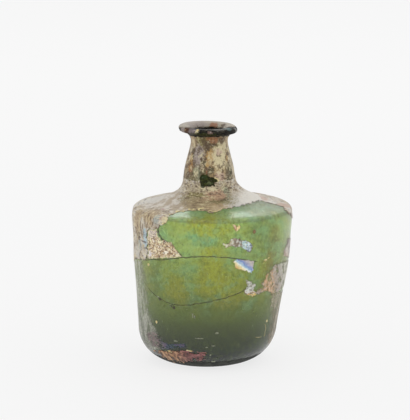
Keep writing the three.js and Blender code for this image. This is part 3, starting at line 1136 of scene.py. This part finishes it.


# The last scales. Single scales and chips of the crust, some pale and some dark, and three
# hair-thin lines of it are left on the bare glass and on the edge of the lip. One long thin mauve
# scale on the lip's edge paints a highlight there.
SCALE = 0.12 * MM
SCALE_CORNERS = 16
RAISED_PART = 0.7
SCALES = {
    "pale_scales": (CREAM, GOLD, [
        (148, 264, 1.6, 1.4), (169.5, 351, 4, 0.7), (189, 350.4, 3.2, 0.8), (182, 350.6, 0.9, 0.5),
        (266.3, 320.5, 1.1, 1.2), (265, 259.5, 2.4, 0.6), (268, 257.5, 1.4, 0.5), (156, 321.6, 1.5, 1.4),
        (206.5, 129.6, 0.5, 0.5), (197, 129.5, 1.2, 1.4),
    ]),
    "grey_scales": ((150, 152, 132), (112, 116, 92), [
        (216.5, 332.5, 1.8, 1.0), (192, 315, 0.6, 2.6), (194, 316.5, 0.5, 2.0), (175, 340.5, 2.4, 0.5),
        (199, 338, 4, 0.4), (206, 347, 1.6, 0.4), (212.5, 345.5, 2.2, 0.5), (210, 354.5, 1.2, 0.8),
        (213, 361, 2.2, 1), (157.5, 296.4, 1.6, 0.7),
    ]),
    "brown_scales": ((146, 116, 76), (108, 88, 54), [
        (254, 231, 1.8, 2.2), (184.5, 129.5, 2.0, 0.9), (205.6, 352.6, 0.9, 0.6),
    ]),
    "mauve_scales_and_lip_highlight": (MAUVE, (120, 108, 112), [
        # The long thin scale at pixel 218, 129.2 paints a highlight along the lip's edge.
        (194, 130, 2.6, 1.1), (210, 132, 1.0, 0.8), (218, 129.2, 5, 0.4), (226, 128.6, 2, 0.5),
    ]),
    "dark_chips": ((34, 32, 14), (70, 64, 36), [
        (159.5, 298.5, 1.7, 1.6), (173, 307, 1.6, 2.0), (170.5, 305.5, 1.6, 0.8),
    ]),
}
HAIRLINES = {
    "hairline_low_right": [(264, 323), (265.5, 329), (263.5, 336)],
    "hairline_at_corner": [(254.5, 336.6), (258, 336.9), (261.5, 336.3)],
    "hairline_by_crack": [(262, 263), (264.5, 261), (267, 260)],
}
HAIR_WIDTH = 0.3 * MM
HAIR_RIDGE = 0.06 * MM


def scale(across, down, wide, tall, seed):
    """A small ragged scale at a pixel, wide and tall in millimetres: places and faces."""
    place, out = spot(across, down)
    right = (Vector(VIEW_RIGHT) - out * out.dot(Vector(VIEW_RIGHT))).normalized()
    up = out.cross(right)
    places, faces = [place + out * SCALE], []
    for i in range(SCALE_CORNERS):
        turn = 2 * math.pi * i / SCALE_CORNERS
        uneven = 1 + 0.8 * noise.noise(Vector((2 * math.cos(turn), 2 * math.sin(turn), seed * 3.7)))
        off = (right * math.cos(turn) * wide + up * math.sin(turn) * tall) * uneven * MM / 2
        for share, lift in ((RAISED_PART, SCALE), (1, -SUNK)):
            _, under, away, _ = bottle_glass.ray_cast(place + off * share + out * 2 * MM, -out)
            places.append(under + away * lift)
        one, two = 1 + 2 * i, 1 + 2 * ((i + 1) % SCALE_CORNERS)
        faces += [(0, one, two), (one, one + 1, two + 1, two)]
    return places, faces


def scales(name, material, marks):
    """One piece of several scales. Each mark is a pixel, a width and a height in millimetres."""
    places, faces = [], []
    for seed, mark in enumerate(marks):
        more, sides = scale(*mark, seed)
        faces += [tuple(len(places) + k for k in face) for face in sides]
        places += more
    return new_piece(name, places, faces, material)


def scale_finish(name, first, second):
    place = new_finish(name)
    tone = place.grain(0.5, 3, 41).rise(0.4, 0.6).mix(first, second)
    return place.look(tone, 0.4, {"Normal": place.grain(0.4, 2).bump(0.5, 0.2)})


looks = {name: scale_finish(name, *colours) for name, (*colours, _) in SCALES.items()}
for name, (*_, marks) in SCALES.items():
    scales(name, looks[name], marks)
for name, line in HAIRLINES.items():
    spots = [spot(*at) for at in along_line(line, CRACK_STEP)]
    new_piece(name, *ribbon(spots, HAIR_WIDTH, HAIR_RIDGE), looks["pale_scales"])


# The floor and the light. A pale seamless floor under an even light, with two softer lamps high
# at the front, each in the place where the shoulder mirrors it.
FLOOR_REACH = 6
FLOOR_TONES = (0.15, 0.16)
FLOOR_GLOW = 0.78
LAMP_AWAY = 1.3
LAMP_TALL = 0.26
LAMPS = [("left_lamp", (187.5, 216), 0.5, 0.44), ("right_lamp", (242, 216), 0.8, 0.6)]
SKY_STRENGTH = 0.93


def plain_floor():
    place = new_finish("pale floor")
    even = place.grain(300, 2)
    tone = even.blend(*((tone,) * 3 for tone in FLOOR_TONES))
    glow = {"Emission Color": (1, 1, 1, 1), "Emission Strength": FLOOR_GLOW}
    return place.look(tone, 1.0, {"Specular IOR Level": 0.0, **glow})


sheet = bpy.data.meshes.new("floor")
reach = (-FLOOR_REACH, FLOOR_REACH)
sheet.from_pydata([(x, y, 0) for x, y in zip(reach * 2, np.repeat(reach, 2))], [], [(0, 1, 3, 2)])
sheet.materials.append(plain_floor())
put_in_scene("floor", sheet)

for name, pixel, wide, power in LAMPS:
    place, out = spot(*pixel)
    ahead = (place - CAMERA_PLACE).normalized()
    away = ahead.reflect(out)
    lamp = bpy.data.lights.new(name, "AREA")
    lamp.shape = "RECTANGLE"
    lamp.size = wide
    lamp.size_y = LAMP_TALL
    lamp.energy = power
    holder = put_in_scene(name, lamp)
    holder.location = place + away * LAMP_AWAY
    holder.rotation_euler = away.to_track_quat("Z", "Y").to_euler()

sky = bpy.data.worlds.new("even light")
sky.use_nodes = True
light = sky.node_tree.nodes["Background"].inputs
light["Color"].default_value = (1, 1, 1, 1)
light["Strength"].default_value = SKY_STRENGTH
bpy.context.scene.world = sky
bpy.context.scene.view_settings.view_transform = "Standard"
